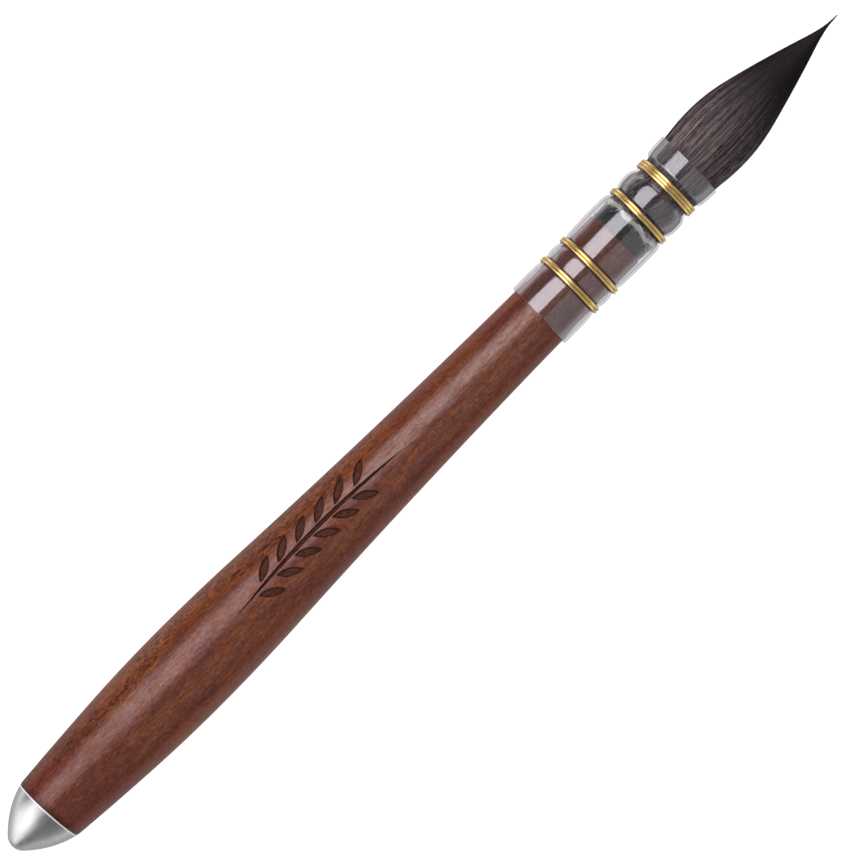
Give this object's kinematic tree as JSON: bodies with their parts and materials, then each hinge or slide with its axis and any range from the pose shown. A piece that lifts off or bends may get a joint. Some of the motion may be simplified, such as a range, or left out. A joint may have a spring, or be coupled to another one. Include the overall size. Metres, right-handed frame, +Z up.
{
  "type": "quill mop brush",
  "caption": "Pointed hair mop brush with a clear quill sleeve bound in brass wire, a turned wooden handle and a polished metal end cap.",
  "frame": {"origin": "on the surface that the brush lies on, below its axis at the middle of its overall length", "axes": "+X along the brush from the end cap to the point of the hair, +Z up, +Y to the left of the hair's direction seen from above"},
  "size_m": [0.18, 0.015, 0.015],
  "materials": {
    "cap_metal": "polished",
    "stud_steel": "zinc plated",
    "handle_wood": "satin lacquered, with a burnt sprig",
    "clear_quill": "clear and glossy",
    "brass_wire": "drawn, bright",
    "black_resin": "cast",
    "cotton_thread": "frayed cotton",
    "hair": "fine dark brown animal hair with tan streaks"
  },
  "bodies": {
    "brush": {"end_cap": "cap_metal", "cap_stud": "stud_steel", "handle": "handle_wood", "quill_sleeve": "clear_quill", "wire_binding_1": "brass_wire", "wire_binding_2": "brass_wire", "wire_binding_3": "brass_wire", "wire_binding_4": "brass_wire", "root_glue": "black_resin", "root_thread": "cotton_thread", "hair_root": "hair"},
    "tuft": {"hair_tuft": "hair"}
  },
  "joints": [
    {"name": "tuft_bend", "type": "hinge", "parent": "brush", "child": "tuft", "pos_m": [0.0578, 0, 0.0075], "axis": [0, 0, 1], "range_deg": [-45, 45], "stiffness_Nm_per_rad": 0.003}
  ]
}
